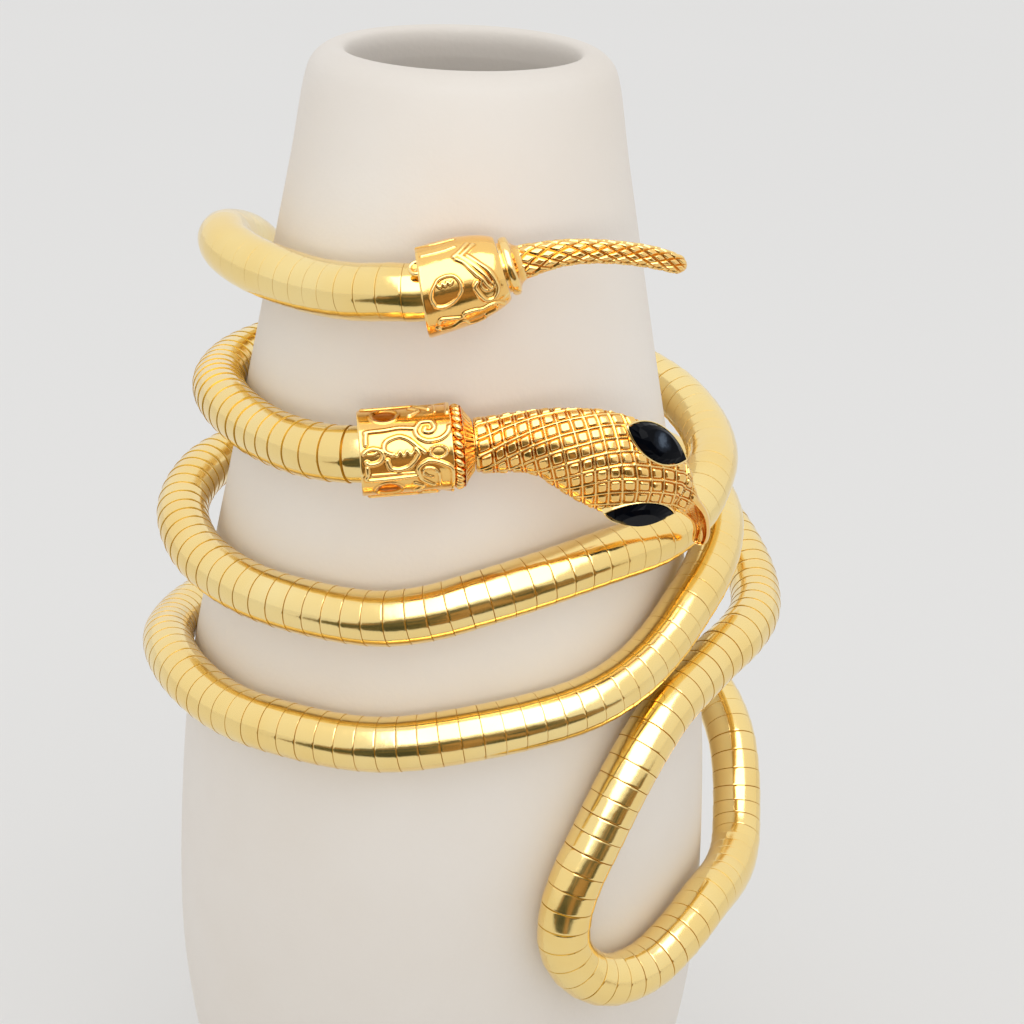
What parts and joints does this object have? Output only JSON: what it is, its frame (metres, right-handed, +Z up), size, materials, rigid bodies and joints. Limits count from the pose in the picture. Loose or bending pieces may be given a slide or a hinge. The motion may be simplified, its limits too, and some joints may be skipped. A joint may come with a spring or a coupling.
{
  "type": "snake wrap bracelet on a plain vase stand",
  "caption": "Snake wrap bracelet of polished ring-built tube chain with a stone-eyed scaled head and a curved scaled tail, wound round a plain vase stand.",
  "frame": {"origin": "centre of the vase's foot, on the surface it stands on", "axes": "+Z up the vase's axis, -Y towards the viewer, the side that the snake's head and tail are on, +X to the viewer's right"},
  "size_m": [0.0859, 0.0836, 0.165],
  "materials": {
    "bisque": "matt",
    "chain_gold": "mirror polished",
    "cast_gold": "polished",
    "black_stone": "polished, faceted"
  },
  "bodies": {
    "root": {"vase": "bisque", "chain_head_half": "chain_gold", "chain_tail_half": "chain_gold", "head_collar": "cast_gold", "snake_head": "cast_gold", "eye_stone_upper": "black_stone", "eye_stone_lower": "black_stone", "tail_collar": "cast_gold", "snake_tail": "cast_gold"}
  },
  "joints": []
}
